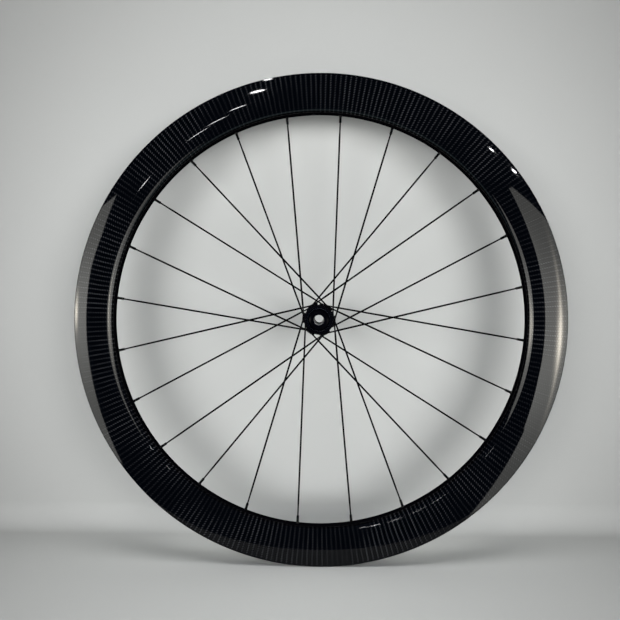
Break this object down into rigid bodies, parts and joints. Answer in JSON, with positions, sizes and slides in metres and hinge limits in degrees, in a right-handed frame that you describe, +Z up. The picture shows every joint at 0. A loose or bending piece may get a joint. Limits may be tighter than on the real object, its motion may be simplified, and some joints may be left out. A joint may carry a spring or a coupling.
{
  "type": "bicycle front wheel",
  "caption": "Deep-section carbon bicycle front wheel: hollow rim laced with bladed straight-pull spokes to a through-axle disc hub that spins on sealed bearings.",
  "frame": {"origin": "centre of the wheel: on the axle's line, in the rim's middle plane, halfway between the two end faces of the hub", "axes": "+Y along the axle, from the disc brake side to the other side; +Z up, towards the valve hole; +X to the right seen from the disc brake side"},
  "size_m": [0.6329, 0.1, 0.633],
  "materials": {
    "carbon": "gloss",
    "spoke": "satin",
    "nipple": "satin",
    "hub": "satin",
    "axle": "satin",
    "cap": "satin",
    "bearing": "polished",
    "seal": "matte"
  },
  "bodies": {
    "axle": {"axle": "axle", "left_end_cap": "cap", "right_end_cap": "cap", "left_bearing_inner_ring": "bearing", "right_bearing_inner_ring": "bearing"},
    "wheel": {"rim": "carbon", "hub_shell": "hub", "left_spoke_01": "spoke", "left_spoke_02": "spoke", "left_spoke_03": "spoke", "left_spoke_04": "spoke", "left_spoke_05": "spoke", "left_spoke_06": "spoke", "left_spoke_07": "spoke", "left_spoke_08": "spoke", "left_spoke_09": "spoke", "left_spoke_10": "spoke", "left_spoke_11": "spoke", "left_spoke_12": "spoke", "right_spoke_01": "spoke", "right_spoke_02": "spoke", "right_spoke_03": "spoke", "right_spoke_04": "spoke", "right_spoke_05": "spoke", "right_spoke_06": "spoke", "right_spoke_07": "spoke", "right_spoke_08": "spoke", "right_spoke_09": "spoke", "right_spoke_10": "spoke", "right_spoke_11": "spoke", "right_spoke_12": "spoke", "left_nipples": "nipple", "right_nipples": "nipple", "left_bearing_outer_ring": "bearing", "right_bearing_outer_ring": "bearing", "left_bearing_outer_seal": "seal", "left_bearing_inner_seal": "seal", "right_bearing_outer_seal": "seal", "right_bearing_inner_seal": "seal"}
  },
  "joints": [
    {"name": "wheel_spin", "type": "hinge", "parent": "axle", "child": "wheel", "pos_m": [0, 0, 0], "axis": [0, 1, 0], "continuous": true}
  ]
}
